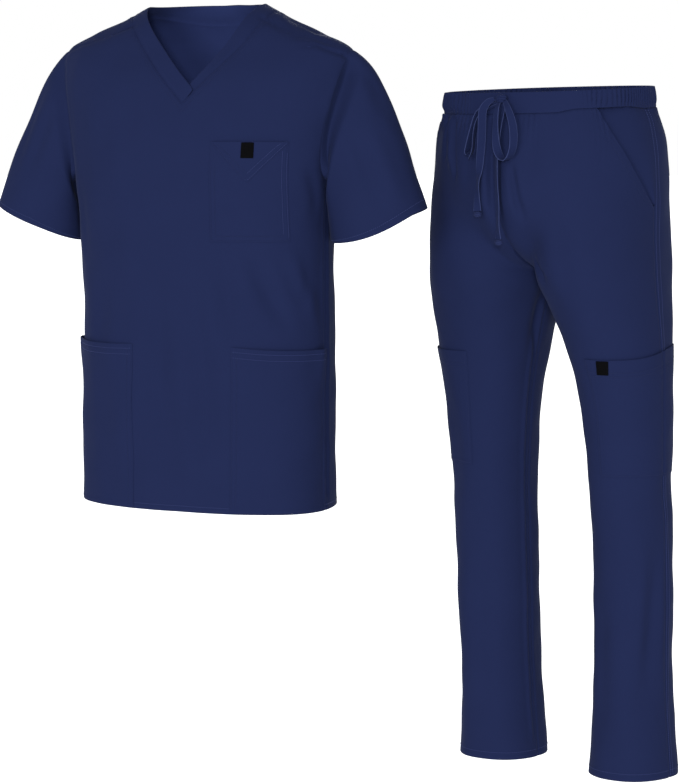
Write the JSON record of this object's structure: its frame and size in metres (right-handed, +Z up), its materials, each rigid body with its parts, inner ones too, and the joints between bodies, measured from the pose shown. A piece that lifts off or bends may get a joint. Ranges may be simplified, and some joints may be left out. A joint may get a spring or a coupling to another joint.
{
  "type": "medical scrubs set",
  "caption": "Medical scrubs: a short-sleeved V-neck top with patch pockets and straight drawstring trousers with slant and cargo pockets, both filled out with no wearer.",
  "frame": {"origin": "middle of the top's neck opening, level with the shoulder points of the neckline, where a wearer's shoulders or a hanger hold the top up", "axes": "+Z up; the top faces -Y and its wearer's left is +X; the trousers stand beside it on the +X side, with their waist lower and turned towards -X by about a quarter of a right angle"},
  "size_m": [1.0067, 0.4382, 1.1304],
  "materials": {
    "navy_cloth": "smooth matt woven",
    "black_label": "woven"
  },
  "bodies": {
    "root": {"drawstring_end_left": "navy_cloth", "drawstring_end_right": "navy_cloth", "drawstring_knot": "navy_cloth", "drawstring_loop_left": "navy_cloth", "drawstring_loop_right": "navy_cloth", "drawstring_tail_left": "navy_cloth", "drawstring_tail_right": "navy_cloth", "top_back": "navy_cloth", "top_front": "navy_cloth", "top_neckband_back": "navy_cloth", "top_neckband_left": "navy_cloth", "top_neckband_right": "navy_cloth", "top_pocket_chest": "navy_cloth", "top_pocket_chest_facing": "navy_cloth", "top_pocket_chest_label": "black_label", "top_pocket_left": "navy_cloth", "top_pocket_right": "navy_cloth", "top_sleeve_left": "navy_cloth", "top_sleeve_right": "navy_cloth", "trouser_back_left": "navy_cloth", "trouser_back_right": "navy_cloth", "trouser_cargo_pocket_label": "black_label", "trouser_cargo_pocket_left": "navy_cloth", "trouser_cargo_pocket_right": "navy_cloth", "trouser_front_left": "navy_cloth", "trouser_front_right": "navy_cloth", "trouser_pocket_facing_left": "navy_cloth", "trouser_pocket_facing_right": "navy_cloth", "trouser_waistband": "navy_cloth"}
  },
  "joints": []
}
